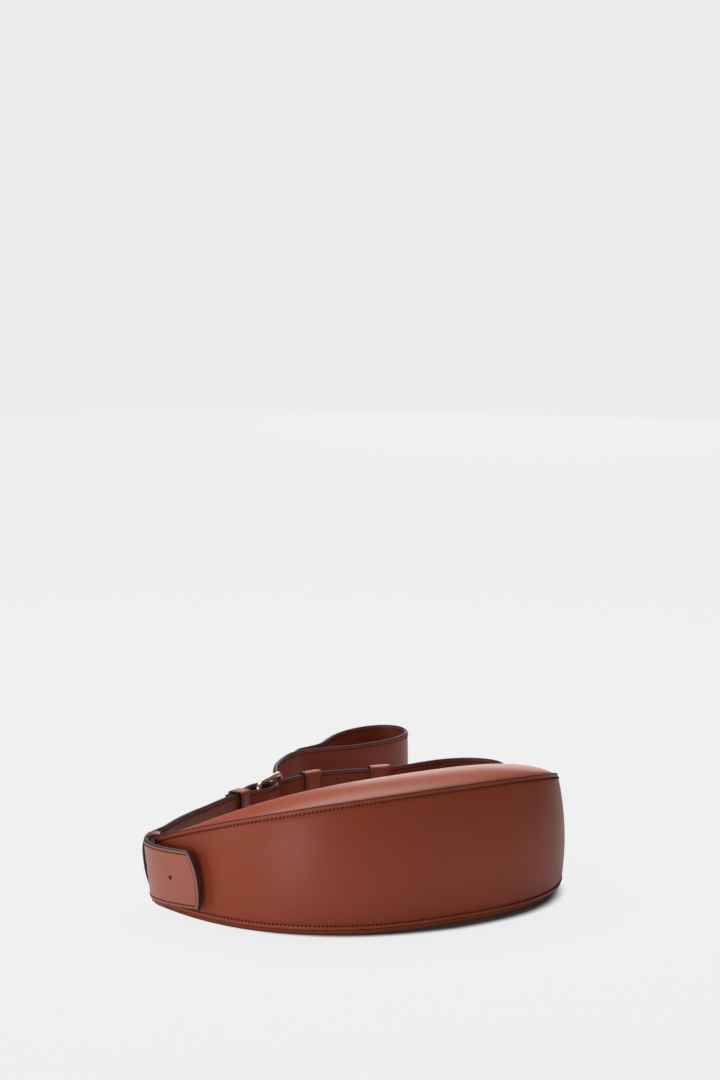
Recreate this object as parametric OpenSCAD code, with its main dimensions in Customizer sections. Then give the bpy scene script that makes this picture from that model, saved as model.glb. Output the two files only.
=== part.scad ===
// Half-moon crossbody bag, lying on its back panel.
// The origin is the middle of the flat face that it rests on: X runs along the mouth,
// the mouth faces +Y, and the front panel is on top.

/* [Body] */
// Length of the half moon along its mouth
body_l = 244; // [225:1:265]
// Depth of the body from mouth to bottom
body_d = 122; // [112:1:134]
// Squareness of the half moon's corners
body_n = 2.5; // [2.3:0.1:2.8]
// Width of the gusset at the two corners
corner_w = 35; // [34:0.5:38]
// Width of the gusset at the middle of the bottom
mid_w = 74.5; // [62:0.5:80]
// Height of the back seam above the resting face
seam_low = 6; // [5.5:0.5:8]
// How far the front seam lies inside the back seam
front_inset = 1.5; // [0.5:0.5:2.5]
// Height that the front panel crowns above its seam
crown_h = 15.5; // [11:0.5:18]
// Height that the gusset bulges
bulge_h = 4.5; // [0.5:0.5:5.5]

/* [Leather] */
// Thickness of the gusset leather
gusset_t = 2.2; // [1.6:0.1:2.6]
// Thickness of the front and back panels
panel_t = 1.8; // [1.4:0.1:2.2]
// Thickness of the lining
lining_t = 0.6; // [0.4:0.1:1]
// Depth of the panel edge that is turned into the seam
flange_d = 7; // [5:0.5:8]

/* [Zip] */
// Height of the zip's middle line above the resting face
zip_z = 22; // [21:0.5:23]
// Distance from each end of the rows of teeth to the bag's corner
zip_end = 25; // [22:1:37]
// Gap between the two parted rows
teeth_gap = 6; // [5:0.5:7]
// Spacing of the teeth along a row
teeth_pitch = 2.4; // [2:0.1:3]
// Width of each leather facing's gap from the middle line
facing_gap = 8.5; // [8.2:0.1:9]
// Width of each tape
tape_w = 6.5; // [5.5:0.5:7]
// Length of the slider
slider_l = 11; // [9:0.5:13]
// Length of the leather pull
pull_l = 26; // [20:1:30]
// Width of the leather pull
pull_w = 9; // [7:0.5:10]

/* [Strap] */
// Width of the strap
strap_w = 33; // [30:0.5:33]
// Thickness of the strap
strap_t = 2.4; // [2:0.1:2.6]
// Angle that the strap droops towards its far end
droop = 2.43; // [1.5:0.01:2.43]
// Radius of the arc at the end of each tab
tab_r = 33; // [24:0.5:40]
// Diameter of the hole in each tab
tab_hole_d = 3.5; // [2:0.5:5]
// Width of the sliding keeper
small_keeper_w = 10; // [8:0.5:11]
// Width of the two wide keepers
wide_keeper_w = 13; // [10:0.5:15]
// Thickness of the keepers' leather
keeper_t = 1.5; // [1:0.1:1.8]

/* [Corner loops] */
// Width of a corner loop along the strap
loop_w = 8; // [6:0.5:9]
// Thickness of a corner loop
loop_t = 1.5; // [1.2:0.1:1.8]
// Diameter of the rivet through a loop and the strap
rivet_d = 2.4; // [2:0.1:3]

/* [Ring] */
// Diameter of the ring's wire
ring_d = 3; // [2.4:0.1:3.2]
// Inner radius of the ring's corners
ring_bend = 2; // [1:0.5:3]

/* [Hidden] */

$fn = 48;
overrun = 1;
weld = 0.25;
seat = 0.1;
clear = 0.3;
half_l = body_l / 2;
mouth_y = body_d / 2;
lip = 0.8;
teeth_l = body_l - 2 * zip_end;

// Shape of the body: a squared half moon whose upper seam climbs towards the bottom
rise_power = 0.92;
front_share = 0.956;
front_d = body_d * front_share;
quarter_cols = 22;
col_power = 1.25;
mouth_crown_share = 0.13;
flat_share = 0.87;
plate_share = 0.86;
plate_t = 1.2;
plate_lift = 0.25;
roll_drop = 1.2;

// Angles of the columns, from the right corner round the bottom to the left corner
function col_angle(u) = 90 * pow(u, col_power) / (pow(u, col_power) + pow(1 - u, col_power));
function cols() = concat([for (i = [0:quarter_cols]) col_angle(i / quarter_cols)],
    [for (i = [quarter_cols - 1:-1:0]) 180 - col_angle(i / quarter_cols)]);
function sign_of(v) = v < 0 ? -1 : 1;
function mix(a, b, t) = a + (b - a) * t;
function rim(t, a, b) = [a * sign_of(cos(t)) * pow(abs(cos(t)), 2 / body_n),
    -b * pow(abs(sin(t)), 2 / body_n)];
function radius_share(x, y, a, b) =
    pow(pow(abs(x) / a, body_n) + pow(max(0, -y) / b, body_n), 1 / body_n);
function cols_to(end_y, b) = [for (t = cols()) if (rim(t, 0, b).y < 2 * end_y) t];
function seam_high(y) =
    seam_low + corner_w + (mid_w - corner_w) * pow(min(1, max(0, -y) / body_d), rise_power);

// Heights of the two panels' outer faces at a place in plan
front_a = half_l - front_inset - gusset_t - seat;
front_b = front_d - gusset_t - seat;
back_a = half_l - gusset_t - seat;
back_b = body_d - gusset_t - seat;
function front_z(x, y) =
    let (r = min(1, radius_share(x, y, front_a, front_b)), d = min(1, max(0, -y) / front_b))
    seam_high(y) + crown_h * (1 - pow(r, 6))
        * (mouth_crown_share + (1 - mouth_crown_share) * (1 - pow(1 - d, 2)));
function back_z(x, y) =
    let (r = min(1, radius_share(x, y, back_a, back_b)), u = max(0, r - flat_share) / (1 - flat_share))
    max(plate_lift, seam_low * (1 - sqrt(1 - u * u)));

// A closed shell between two grids of points with the same rows and columns
module shell(outer, inner) {
    rows = len(outer);
    n = len(outer[0]);
    points = concat([for (row = outer) each row], [for (row = inner) each row]);
    half = rows * n;
    function o(r, c) = r * n + c;
    function i(r, c) = half + r * n + c;
    faces = concat(
        [for (r = [0:rows - 2]) for (c = [0:n - 2])
            each [[o(r, c), o(r, c + 1), o(r + 1, c + 1)], [o(r, c), o(r + 1, c + 1), o(r + 1, c)]]],
        [for (r = [0:rows - 2]) for (c = [0:n - 2])
            each [[i(r, c), i(r + 1, c + 1), i(r, c + 1)], [i(r, c), i(r + 1, c), i(r + 1, c + 1)]]],
        [for (c = [0:n - 2]) each [[o(0, c), i(0, c), i(0, c + 1)], [o(0, c), i(0, c + 1), o(0, c + 1)]]],
        [for (c = [0:n - 2]) each [[o(rows - 1, c), i(rows - 1, c + 1), i(rows - 1, c)],
            [o(rows - 1, c), o(rows - 1, c + 1), i(rows - 1, c + 1)]]],
        [for (r = [0:rows - 2]) each [[o(r, 0), i(r + 1, 0), i(r, 0)],
            [o(r, 0), o(r + 1, 0), i(r + 1, 0)]]],
        [for (r = [0:rows - 2]) each [[o(r, n - 1), i(r, n - 1), i(r + 1, n - 1)],
            [o(r, n - 1), i(r + 1, n - 1), o(r + 1, n - 1)]]]);
    translate([0, mouth_y, 0])
        polyhedron(points = points, faces = faces);
}

// Panels: a turned-in edge, then columns that run straight from the rim to the mouth
front_row_shares = [0.012, 0.04, 0.09, 0.17, 0.3, 0.48, 0.7, 1];
function front_grid(inset, drop, flange, end_y) = let (a = front_a - inset, b = front_b - inset)
    concat(
        [for (z = flange > 0 ? [flange, roll_drop + drop] : [])
            [for (t = cols_to(end_y, b)) let (p = rim(t, a, b)) [p.x, p.y, seam_high(p.y) - z]]],
        [for (v = front_row_shares)
            [for (t = cols_to(end_y, b)) let (p = rim(t, a, b), y = mix(p.y, end_y, v))
                [p.x, y, front_z(p.x, y) - drop]]]);

module front_panel() {
    color("indianred")
        shell(front_grid(0, 0, flange_d, lip), front_grid(panel_t, panel_t, flange_d, lip));
}

back_row_shares = [0.008, 0.03, 0.06, 0.1, 0.2, 0.55, 1];
function back_grid(inset, raise, flange, end_y) = let (a = back_a - inset, b = back_b - inset)
    concat(
        [for (z = flange > 0 ? [flange, seat + raise] : [])
            [for (t = cols_to(end_y, b)) let (lean = front_inset * z / corner_w, p = rim(t, a - lean, b - lean))
                [p.x, p.y, seam_low + z]]],
        [for (v = back_row_shares)
            [for (t = cols_to(end_y, b)) let (p = rim(t, a, b), y = mix(p.y, end_y, v))
                [p.x, y, back_z(p.x, y) + raise]]]);

module rest_plate() {
    a = back_a * plate_share;
    b = back_b * plate_share;
    translate([0, mouth_y, 0])
        linear_extrude(height = plate_t)
            polygon(concat([[a, lip]], [for (t = cols()) rim(t, a, b)], [[-a, lip]]));
}

module back_panel() {
    color("sienna")
        union() {
            shell(back_grid(panel_t, panel_t, flange_d, lip), back_grid(0, 0, flange_d, lip));
            rest_plate();
        }
}

// Gusset: one long strip round the bottom from corner to corner, widest in the middle
gusset_row_shares = [0, 0.15, 0.38, 0.62, 0.85, 1];
function gusset_point(t, v, inset) =
    let (swell = bulge_h * 4 * v * (1 - v) * sin(t) - inset,
        p = rim(t, mix(half_l, half_l - front_inset, v) + swell, mix(body_d, front_d, v) + swell),
        top = rim(t, half_l - front_inset, front_d))
    [p.x, p.y, mix(seam_low, seam_high(top.y), v)];
function gusset_row(v, inset) =
    let (first = gusset_point(0, v, inset), last = gusset_point(180, v, inset))
    concat([[first.x, lip, first.z]], [for (t = cols()) gusset_point(t, v, inset)],
        [[last.x, lip, last.z]]);

module gusset() {
    color("brown")
        shell([for (v = gusset_row_shares) gusset_row(v, gusset_t)],
            [for (v = gusset_row_shares) gusset_row(v, 0)]);
}

// Linings: a skin inside each panel and a strip inside the gusset between the seams
lining_y = 4;
lining_gap = 0.3;
lining_step = 1.2;
lining_edge = panel_t + lining_step;

module front_lining() {
    color("tan")
        shell(front_grid(lining_edge, panel_t + lining_gap, 0, -lining_y),
            front_grid(lining_edge, panel_t + lining_gap + lining_t, 0, -lining_y));
}

module back_lining() {
    color("tan")
        shell(back_grid(lining_edge, panel_t + lining_gap + lining_t, 0, -lining_y),
            back_grid(lining_edge, panel_t + lining_gap, 0, -lining_y));
}

strip_row_shares = [0, 0.33, 0.67, 1];
function lining_row(v, inset) = [for (t = cols())
    let (low = gusset_point(t, 0, 0), high = gusset_point(t, 1, 0),
        edge = (flange_d + lining_step) / (high.z - low.z), s = mix(edge, 1 - edge, v),
        p = gusset_point(t, s, inset))
    [p.x, min(p.y, -lining_y * (1 - abs(cos(t)) / 2)), p.z]];

module gusset_lining() {
    color("tan")
        shell([for (v = strip_row_shares) lining_row(v, gusset_t + lining_gap + lining_t)],
            [for (v = strip_row_shares) lining_row(v, gusset_t + lining_gap)]);
}

// Facings: leather strips that close the mouth down to the zip
facing_t = 1.6;
facing_half = front_a - panel_t - clear;
facing_steps = 20;
facing_xs = [for (i = [0:facing_steps]) facing_half * (2 * i / facing_steps - 1)];

module mouth_strip(outline) {
    translate([0, mouth_y, 0])
        rotate([90, 0, 0])
            linear_extrude(height = facing_t)
                polygon(outline);
}

module front_facing() {
    color("firebrick")
        mouth_strip(concat([for (x = facing_xs) [x, front_z(x, 0) - panel_t - seat]],
            [[facing_half, zip_z + facing_gap], [-facing_half, zip_z + facing_gap]]));
}

module back_facing() {
    color("firebrick")
        mouth_strip(concat([for (x = facing_xs) [x, back_z(x, 0) + panel_t + seat]],
            [[facing_half, zip_z - facing_gap], [-facing_half, zip_z - facing_gap]]));
}

// Zip: two tapes behind the facings, each with a bead that carries its row of teeth
tape_t = 0.7;
tape_end = 6;
tooth_w = 3.4;
tooth_t = 2.8;
tooth_share = 0.55;
bead_share = 0.42;
bead_t = 2;
row_in = teeth_gap / 2;
row_out = row_in + tooth_w;
tape_in = row_out + seat;
tape_y = -facing_t - seat - tape_t / 2;
stop_l = 2;

module at_mouth() {
    translate([0, mouth_y, zip_z])
        children();
}

module zip_tape(side) {
    at_mouth()
        translate([-teeth_l / 2 - tape_end, tape_y - tape_t / 2, side > 0 ? tape_in : -tape_in - tape_w])
            cube([teeth_l + 2 * tape_end, tape_t, tape_w]);
}

module tooth_row(side) {
    count = floor(teeth_l / teeth_pitch);
    bead_w = tooth_w * bead_share;
    tooth_l = teeth_pitch * tooth_share;
    shift = side > 0 ? 0 : teeth_pitch / 2;
    at_mouth() {
        translate([-teeth_l / 2, tape_y - bead_t / 2, side > 0 ? row_out - bead_w : -row_out])
            cube([teeth_l, bead_t, bead_w]);
        for (i = [0:count - 1])
            translate([-teeth_l / 2 + shift + i * teeth_pitch, tape_y - tooth_t / 2,
                side > 0 ? row_in : bead_w - row_out - bead_w / 2])
                cube([tooth_l, tooth_t, tooth_w - bead_w / 2]);
    }
}

module zip_stops() {
    color("goldenrod")
        at_mouth() {
            for (z = [row_in, -row_out])
                translate([-teeth_l / 2 - seat - stop_l, tape_y - tooth_t / 2, z])
                    cube([stop_l, tooth_t, tooth_w]);
            translate([teeth_l / 2 + seat, tape_y - tooth_t / 2, -row_out])
                cube([stop_l, tooth_t, 2 * row_out]);
        }
}

// Slider: two plates joined by a bridge in the slot, with flanges that reach round the rows
plate_thick = 1.3;
flange_thick = 1.2;
slider_x = -teeth_l / 2 + stop_l + slider_l / 2;
slider_half = row_out + clear + flange_thick;
slider_gap = tooth_t / 2 + clear;
ear_w = 1;
ear_gap = 3.4;
ear_l = 4;
ear_h = 2.6;
pin_d = 1.2;
pin_y = tape_y + slider_gap + plate_thick + ear_h / 2;

module slider_plate(side) {
    translate([-slider_l / 2, side > 0 ? slider_gap : -slider_gap - plate_thick, -slider_half])
        cube([slider_l, plate_thick, 2 * slider_half]);
    for (z = [slider_half - flange_thick, -slider_half])
        translate([-slider_l / 2, side > 0 ? tape_t / 2 + clear : -slider_gap - weld, z])
            cube([slider_l, slider_gap + weld - tape_t / 2 - clear, flange_thick]);
}

module zip_slider() {
    color("goldenrod")
        at_mouth()
            translate([slider_x, tape_y, 0]) {
                slider_plate(1);
                slider_plate(-1);
                translate([-slider_l / 4, -slider_gap - weld, clear - row_in])
                    cube([slider_l / 2, 2 * slider_gap + 2 * weld, 2 * (row_in - clear)]);
                for (z = [ear_gap / 2, -ear_gap / 2 - ear_w])
                    translate([-ear_l / 2, slider_gap + plate_thick - weld, z])
                        cube([ear_l, ear_h + weld, ear_w]);
                translate([0, pin_y - tape_y, 0])
                    cylinder(h = ear_gap + ear_w, d = pin_d, center = true);
            }
}

// Puller: a brass link that turns on the slider's pin, and a leather pull round its end
link_l = 11;
link_t = 1;
eye_wall = 0.5;
link_clear = 0.05;
link_w = 2.8;
eye_r = pin_d / 2 + link_clear + eye_wall;
stitch_lap = 5;

module at_pin() {
    translate([slider_x, mouth_y + pin_y, zip_z])
        children();
}

module pull_link() {
    color("goldenrod")
        at_pin()
            difference() {
                union() {
                    cylinder(h = link_w, r = eye_r, center = true);
                    translate([0, -link_t / 2, -link_w / 2])
                        cube([link_l + stitch_lap, link_t, link_w]);
                }
                cylinder(h = link_w + overrun, d = pin_d + 2 * link_clear, center = true);
            }
}

pull_t = 2.2;

module zip_pull() {
    color("sienna")
        at_pin()
            difference() {
                translate([link_l, -pull_t / 2, -pull_w / 2])
                    cube([pull_l, pull_t, pull_w]);
                translate([link_l - overrun, -link_t / 2 - seat / 2, -link_w / 2 - seat])
                    cube([stitch_lap + overrun + seat, link_t + seat, link_w + 2 * seat]);
            }
}

// Strap: leather bands that stand on edge in a plane drooping from the corners.
// Each route is a smooth line through places given as shares of the half length and the depth.
hinge_share = 0.164;
hinge_y = body_d * hinge_share;
strap_z = 25;
left_cut = -half_l * 0.863;
right_cut = half_l * 1.038;
cut_gap = 0.3;
route_steps = 3;

tab_shares = [[-1.015, -0.411], [-1.035, -0.357], [-1.052, -0.303], [-1.064, -0.256],
    [-1.073, -0.184], [-1.071, -0.128], [-1.068, -0.106]];
end_shares = [[-1.067, -0.102], [-1.063, -0.087], [-1.049, -0.044], [-1.013, 0.009],
    [-0.966, 0.067], [-0.902, 0.123], [-0.828, 0.177]];
right_end_shares = [[1.067, -0.102], [1.063, -0.087], [1.049, -0.044], [1.013, 0.009],
    [0.984, 0.048], [0.969, 0.084], [0.975, 0.124], [1.003, 0.162], [1.050, 0.197],
    [1.105, 0.236]];
left_shares = [[-0.902, 0.123], [-0.828, 0.177], [-0.678, 0.298], [-0.531, 0.399],
    [-0.394, 0.481], [-0.281, 0.554], [-0.173, 0.614], [-0.091, 0.644], [-0.025, 0.652],
    [0.032, 0.655], [0.081, 0.667], [0.131, 0.697], [0.173, 0.739], [0.190, 0.769],
    [0.180, 0.796], [0.149, 0.806], [0.100, 0.806], [0.051, 0.788], [0.001, 0.753],
    [-0.057, 0.704], [-0.124, 0.668], [-0.181, 0.641]];
right_shares = [[1.003, 0.162], [1.050, 0.197], [1.105, 0.236], [1.170, 0.284], [1.242, 0.345],
    [1.309, 0.418], [1.360, 0.499], [1.374, 0.591], [1.348, 0.675], [1.278, 0.739], [1.182, 0.769],
    [1.051, 0.767], [0.952, 0.755], [0.855, 0.759], [0.753, 0.792], [0.667, 0.826],
    [0.592, 0.851], [0.524, 0.861], [0.453, 0.859], [0.383, 0.846], [0.313, 0.822],
    [0.268, 0.816], [0.236, 0.829], [0.230, 0.856], [0.249, 0.885], [0.286, 0.922],
    [0.328, 0.977], [0.383, 1.073], [0.453, 1.167], [0.525, 1.245], [0.605, 1.319],
    [0.683, 1.382], [0.761, 1.413], [0.824, 1.414], [0.934, 1.396], [1.041, 1.375],
    [1.163, 1.370], [1.310, 1.400], [1.434, 1.461], [1.521, 1.555], [1.561, 1.660],
    [1.545, 1.742], [1.459, 1.787], [1.314, 1.763], [1.163, 1.686], [1.025, 1.573],
    [0.947, 1.508], [0.872, 1.482], [0.775, 1.455], [0.675, 1.425]];

function places(s) = [for (p = s) [p.x * half_l, p.y * body_d]];
function flip(s) = [for (p = s) [-p.x, p.y]];
function bend(a, b, c, d, t) =
    (2 * b + (c - a) * t + (2 * a - 5 * b + 4 * c - d) * t * t + (3 * b - a - 3 * c + d) * t * t * t) / 2;
function route(p) = concat(
    [for (i = [0:len(p) - 2]) for (j = [0:route_steps - 1])
        bend(p[max(i - 1, 0)], p[i], p[i + 1], p[min(i + 2, len(p) - 1)], j / route_steps)],
    [p[len(p) - 1]]);
function unit(v) = v / norm(v);
function normal(c, i) =
    let (d = unit(c[min(i + 1, len(c) - 1)] - c[max(i - 1, 0)])) [-d.y, d.x];
function ribbon(c) = concat([for (i = [0:len(c) - 1]) c[i] + normal(c, i) * strap_t / 2],
    [for (i = [len(c) - 1:-1:0]) c[i] - normal(c, i) * strap_t / 2]);

module strap_plane() {
    translate([0, mouth_y + hinge_y, strap_z])
        rotate([-droop, 0, 0])
            translate([0, -hinge_y, 0])
                children();
}

module band(s) {
    linear_extrude(height = strap_w, center = true)
        polygon(ribbon(route(places(s))));
}

// What a round end loses at its corners; the tip is the route's last place
module end_corners(s, r) {
    p = places(s);
    tip = p[len(p) - 1];
    u = unit(tip - p[len(p) - 2]);
    translate(tip - u * r)
        rotate([0, 0, atan2(u.y, u.x)])
            difference() {
                translate([0, -strap_t, -strap_w])
                    cube([r + overrun, 2 * strap_t, 2 * strap_w]);
                rotate([90, 0, 0])
                    cylinder(h = strap_w, r = r, center = true, $fn = 96);
            }
}

function reversed(s) = [for (i = [len(s) - 1:-1:0]) s[i]];

module tab(s) {
    hole_at = places([s[len(s) - 4]])[0];
    color("rosybrown")
        strap_plane()
            difference() {
                band(s);
                end_corners(s, tab_r);
                translate([hole_at.x, hole_at.y, 0])
                    rotate([0, 90, 0])
                        cylinder(h = strap_w, d = tab_hole_d, center = true);
            }
}

// The strap is divided by an upright plane near its hinge line, at a small gap
module beyond(cut) {
    far = body_l * 2;
    translate([cut, hinge_y / 4, -strap_w])
        cube([far, far, 2 * strap_w]);
}

module strap_end(s, cut, side) {
    color("maroon")
        difference() {
            strap_plane()
                difference() {
                    band(s);
                    beyond(cut - cut_gap / 2);
                }
            rivet_line(side)
                cylinder(h = strap_w, d = rivet_d + 2 * seat, center = true);
        }
}

module left_strap() {
    color("maroon")
        strap_plane()
            intersection() {
                band(left_shares);
                beyond(left_cut + cut_gap / 2);
            }
}

module right_strap() {
    color("maroon")
        strap_plane()
            intersection() {
                difference() {
                    band(right_shares);
                    end_corners(right_shares, strap_w / 2);
                }
                union() {
                    beyond(right_cut + cut_gap / 2);
                    translate([-body_l, body_d / 2, -strap_w])
                        cube([2 * body_l, 2 * body_d, 2 * strap_w]);
                }
            }
}

// Keepers: flat leather tubes round the strap
keeper_clear = 0.7;

module keeper(at_share, turn, w, gap) {
    h = strap_w + 2 * clear;
    strap_plane()
        translate([at_share.x * half_l, at_share.y * body_d, 0])
            rotate([0, 0, turn])
                difference() {
                    cube([w, gap + 2 * keeper_t, h + 2 * keeper_t], center = true);
                    cube([w + overrun, gap, h], center = true);
                }
}

small_keeper_share = [-0.0995, 0.656];
keeper_one_share = [0.453, 0.858];
keeper_two_share = [0.805, 0.775];
small_keeper_turn = 24;
keeper_one_turn = 5;
keeper_two_turn = -17;
keeper_fill_share = 3.75;
small_keeper_gap = keeper_fill_share * strap_t;

module small_keeper() {
    color("sienna") keeper(small_keeper_share, small_keeper_turn, small_keeper_w, small_keeper_gap);
}

module keeper_one() {
    color("brown")
        keeper(keeper_one_share, keeper_one_turn, wide_keeper_w, strap_t + 2 * keeper_clear);
}

module keeper_two() {
    color("brown")
        keeper(keeper_two_share, keeper_two_turn, wide_keeper_w, strap_t + 2 * keeper_clear);
}

// Corner loops: a C of thin leather from the front edge round the strap to the back edge
loop_turn = 54.9;
loop_from = 0.3;
loop_in = -3.7;
loop_drop = 3.6;
loop_head_room = 1;
loop_side_room = 2.5;
loop_low = seam_low - loop_drop;
loop_high = strap_z + strap_w / 2 + loop_head_room;
loop_room = strap_t / 2 + loop_side_room;
loop_bend = 2.5;
bend_steps = 6;

// Local X runs along the strap at the corner, local Y points away from the bag
module at_corner(side) {
    translate([side * half_l, mouth_y, 0])
        mirror([side > 0 ? 0 : 1, 0, 0])
            rotate([0, 0, 180 - loop_turn])
                mirror([0, 1, 0])
                    children();
}

function arc(x, y, r, from) =
    [for (i = [0:bend_steps]) let (a = from + 90 * i / bend_steps) [x + r * cos(a), y + r * sin(a)]];

module corner_loop(side) {
    out = loop_room + loop_t;
    color("saddlebrown")
        difference() {
            at_corner(side)
                translate([loop_from, 0, 0])
                    rotate([90, 0, 90])
                        linear_extrude(height = loop_w)
                            polygon(concat(
                                [[loop_in, loop_low - loop_t]],
                                arc(out - loop_bend, loop_low - loop_t + loop_bend, loop_bend, -90),
                                arc(out - loop_bend, loop_high + loop_t - loop_bend, loop_bend, 0),
                                [[loop_in, loop_high + loop_t], [loop_in, loop_high]],
                                reversed(arc(out - loop_bend, loop_high + loop_t - loop_bend,
                                    loop_bend - loop_t, 0)),
                                reversed(arc(out - loop_bend, loop_low - loop_t + loop_bend,
                                    loop_bend - loop_t, -90)),
                                [[loop_in, loop_low]]));
            rivet_line(side)
                cylinder(h = strap_w, d = rivet_d + 2 * seat, center = true);
        }
}

// Rivets: a shank through the loop and the strap with a head on each side
rivet_head_d = 5;
rivet_head_t = 0.6;
rivet_inner_share = 0.8;
rivet_lift = 0.05;
function off_corner(s) = let (p = [(s.x - 1) * half_l, s.y * body_d])
    [p.y * sin(loop_turn) - p.x * cos(loop_turn), p.x * sin(loop_turn) + p.y * cos(loop_turn)];
strap_before = off_corner(right_end_shares[3]);
strap_after = off_corner(flip(end_shares)[4]);
strap_at_corner = lookup(loop_from + loop_w / 2, [strap_before, strap_after]);
rivet_in = strap_at_corner - strap_t / 2 - rivet_lift;

module rivet_line(side) {
    at_corner(side)
        translate([loop_from + loop_w / 2, 0, strap_z])
            rotate([-90, 0, 0])
                children();
}

module rivet(side) {
    out = loop_room + loop_t + seat / 2;
    color("goldenrod")
        rivet_line(side) {
            translate([0, 0, rivet_in - rivet_head_t])
                cylinder(h = rivet_head_t, d = rivet_head_d * rivet_inner_share);
            translate([0, 0, rivet_in - rivet_head_t / 2])
                cylinder(h = out - rivet_in + rivet_head_t, d = rivet_d);
            translate([0, 0, out])
                cylinder(h = rivet_head_t, d = rivet_head_d);
        }
}

// Ring: a rounded rectangle of brass wire through both folds of the strap
ring_from_share = [0.030, 0.683];
ring_to_share = [0.266, 0.856];
ring_clear = 1;

module strap_ring() {
    from = places([ring_from_share])[0];
    to = places([ring_to_share])[0];
    l = norm(to - from);
    r = ring_bend + ring_d / 2;
    top = strap_w / 2 + ring_clear + ring_d / 2;
    color("goldenrod")
        strap_plane()
            translate([from.x, from.y, 0])
                rotate([0, 0, atan2(to.y - from.y, to.x - from.x)]) {
                    for (x = [0, l])
                        translate([x, 0, 0])
                            cylinder(h = 2 * (top - r), d = ring_d, center = true);
                    for (z = [-top, top])
                        translate([r, 0, z])
                            rotate([0, 90, 0])
                                cylinder(h = l - 2 * r, d = ring_d);
                    for (x = [0, 1])
                        for (z = [0, 1])
                            translate([x > 0 ? l - r : r, 0, z > 0 ? top - r : r - top])
                                mirror([1 - x, 0, 0])
                                    mirror([0, 0, 1 - z])
                                        rotate([90, 0, 0])
                                            rotate_extrude(angle = 90)
                                                translate([r, 0])
                                                    circle(d = ring_d);
                }
}

front_panel();
back_panel();
gusset();
front_lining();
back_lining();
gusset_lining();
front_facing();
back_facing();
color("dimgray") zip_tape(1);  // front_zip_tape
color("dimgray") zip_tape(-1);  // back_zip_tape
color("goldenrod") tooth_row(1);  // front_zip_teeth
color("goldenrod") tooth_row(-1);  // back_zip_teeth
zip_stops();
zip_slider();
pull_link();
zip_pull();
corner_loop(-1);  // left_loop
corner_loop(1);  // right_loop
rivet(-1);  // left_rivet
rivet(1);  // right_rivet
strap_end(end_shares, left_cut, -1);  // left_strap_end
strap_end(right_end_shares, right_cut, 1);  // right_strap_end
tab(reversed(tab_shares));  // left_tab
tab(flip(reversed(tab_shares)));  // right_tab
left_strap();
right_strap();
small_keeper();
keeper_one();
keeper_two();
strap_ring();
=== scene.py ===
# Half-moon crossbody bag in cognac calf leather, finished over the fixed frame.
# Shapes are worked out in millimetres in the bag's own plan, where the mouth is the line
# y = 0 and the body lies towards -y, and are moved into the frame at the end.
import math

import bpy
import numpy as np
from mathutils import Matrix, Vector


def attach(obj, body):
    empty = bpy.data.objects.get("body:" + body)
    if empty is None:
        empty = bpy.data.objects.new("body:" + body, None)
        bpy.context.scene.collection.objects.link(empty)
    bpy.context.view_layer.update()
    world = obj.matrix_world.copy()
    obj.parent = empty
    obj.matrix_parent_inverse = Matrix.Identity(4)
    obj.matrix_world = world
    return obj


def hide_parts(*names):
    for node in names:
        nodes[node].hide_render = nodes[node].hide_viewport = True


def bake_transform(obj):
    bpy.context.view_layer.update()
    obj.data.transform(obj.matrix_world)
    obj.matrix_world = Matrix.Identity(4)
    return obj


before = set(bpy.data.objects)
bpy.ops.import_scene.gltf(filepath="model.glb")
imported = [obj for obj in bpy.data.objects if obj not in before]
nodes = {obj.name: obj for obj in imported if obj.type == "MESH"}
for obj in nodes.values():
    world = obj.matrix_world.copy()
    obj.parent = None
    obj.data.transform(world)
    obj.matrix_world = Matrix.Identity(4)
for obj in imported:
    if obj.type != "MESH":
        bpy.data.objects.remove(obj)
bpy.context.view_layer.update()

# Body: length, depth and the power of its outline
BODY_L, BODY_D, BODY_N = 244.0, 122.0, 2.5
HALF_L, MOUTH_Y = BODY_L / 2, BODY_D / 2
FRONT_D, FRONT_INSET = BODY_D * 0.956, 1.5

# Gusset: its width at the corners and in the middle, the height of the lower seam, its bulge
CORNER_W, MID_W, SEAM_LOW, RISE_POWER, BULGE_H = 35.0, 74.5, 6.0, 0.92, 4.5

# Leathers: SEAT is the gap between two that lie together, LIP how far they stand past the
# mouth, STITCH_IN the sewing's distance from an edge and SKIVED the gusset's thinned edge
GUSSET_T, PANEL_T, LINING_T, FLANGE_D = 2.2, 1.8, 0.6, 7.0
SEAT, LIP, STITCH_IN, SKIVED = 0.1, 0.8, 2.3, 1.0
TURNED = GUSSET_T - SKIVED
GROOVE_D, GROOVE_HALF = 0.14, 0.45

# Panels: half length and depth of each, the front's crown and roll, the back's flat middle
FRONT_A, FRONT_B = HALF_L - FRONT_INSET - SKIVED - SEAT, FRONT_D - SKIVED - SEAT
BACK_A, BACK_B = HALF_L - SKIVED - SEAT, BODY_D - SKIVED - SEAT
CROWN_H, MOUTH_CROWN, ROLL_H, ROLL_RUN = 15.5, 0.13, 1.2, 0.8
FLAT_SHARE, FLOOR_GAP = 0.87, 0.12
LINING_GAP, LINING_STEP, LINING_TOP = 0.3, 1.2, -4.0

# Zip and mouth: heights and widths from the zip's own middle
ZIP_Z, TEETH_L, FACING_GAP, TAPE_W = 22.0, 194.0, 8.5, 6.5
FACING_T, TAPE_T, ROW_OUT = 1.6, 0.7, 6.4
MOUTH_STITCH, MOUTH_GROOVE = 2.5, 0.15
SLIDER_X, PULL_AT = -89.5, 11

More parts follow.
